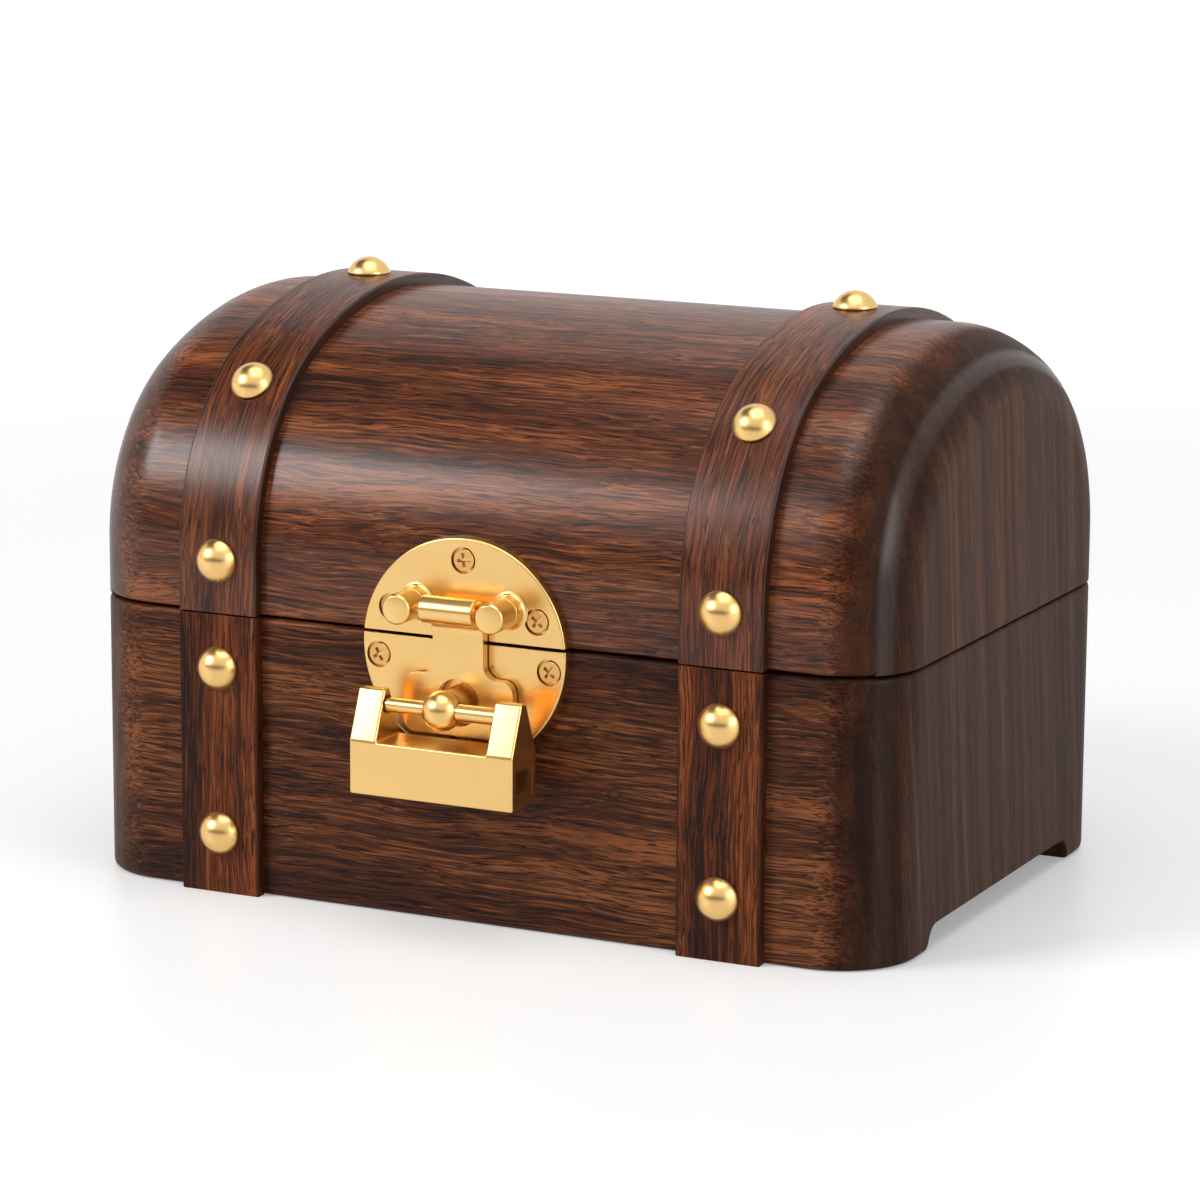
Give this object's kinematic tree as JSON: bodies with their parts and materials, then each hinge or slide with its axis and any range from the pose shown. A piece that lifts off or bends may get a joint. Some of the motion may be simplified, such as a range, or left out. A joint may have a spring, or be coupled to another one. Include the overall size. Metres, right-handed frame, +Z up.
{
  "type": "treasure chest",
  "caption": "Small domed wooden chest with strapped and nailed boards, a hinged arched lid, a round brass lock plate, a swinging hasp and a removable padlock with a sliding bar.",
  "frame": {"origin": "on the floor, under the middle of the outline's box, lock and hinges included", "axes": "+X along the width, to the right seen from the front; the lock faces -Y; +Z up"},
  "size_m": [0.2, 0.1622, 0.1375],
  "materials": {
    "hardwood": "dark oiled rosewood, satin lacquer, fine dark grain",
    "strap_wood": "dark reddish rosewood, satin lacquer, grain along the strap",
    "brass": "satin polished brass",
    "spring_steel": "bare spring steel"
  },
  "bodies": {
    "base": {"front_board": "hardwood", "back_board": "hardwood", "left_end_board": "hardwood", "right_end_board": "hardwood", "bottom_panel": "hardwood", "base_strap_front_left": "strap_wood", "base_strap_front_right": "strap_wood", "base_strap_back_left": "strap_wood", "base_strap_back_right": "strap_wood", "base_nails": "brass", "left_hinge_base_leaf": "brass", "right_hinge_base_leaf": "brass", "left_hinge_pin": "brass", "right_hinge_pin": "brass", "hinge_base_screws": "brass", "lower_lock_plate": "brass", "lower_plate_screws": "brass", "lock_post": "brass"},
    "lid": {"lid_dome": "hardwood", "lid_end_left": "hardwood", "lid_end_right": "hardwood", "lid_strap_left": "strap_wood", "lid_strap_right": "strap_wood", "lid_nails": "brass", "left_hinge_lid_leaf": "brass", "right_hinge_lid_leaf": "brass", "hinge_lid_screws": "brass", "upper_lock_plate": "brass", "upper_plate_screws": "brass", "left_lug": "brass", "right_lug": "brass", "hasp_pin": "brass"},
    "hasp": {"hasp": "brass"},
    "padlock": {"padlock_case": "brass"},
    "shackle": {"padlock_shackle": "brass", "padlock_spring": "spring_steel"}
  },
  "joints": [
    {"name": "lid_hinge", "type": "hinge", "parent": "base", "child": "lid", "pos_m": [0, 0.07808, 0.06475], "axis": [-1, 0, 0], "range_deg": [0, 95]},
    {"name": "hasp_hinge", "type": "hinge", "parent": "lid", "child": "hasp", "pos_m": [0, -0.07143, 0.0724], "axis": [-1, 0, 0], "range_deg": [0, 150]},
    {"name": "padlock_removal", "type": "slide", "parent": "base", "child": "padlock", "axis": [0, -1, 0], "range_m": [0, 0.15]},
    {"name": "shackle_slide", "type": "slide", "parent": "padlock", "child": "shackle", "axis": [-1, 0, 0], "range_m": [0, 0.022]}
  ],
  "couplings": [
    {"joint": "hasp_hinge", "follows": "padlock_removal", "rad_per_m": 17.453}
  ]
}
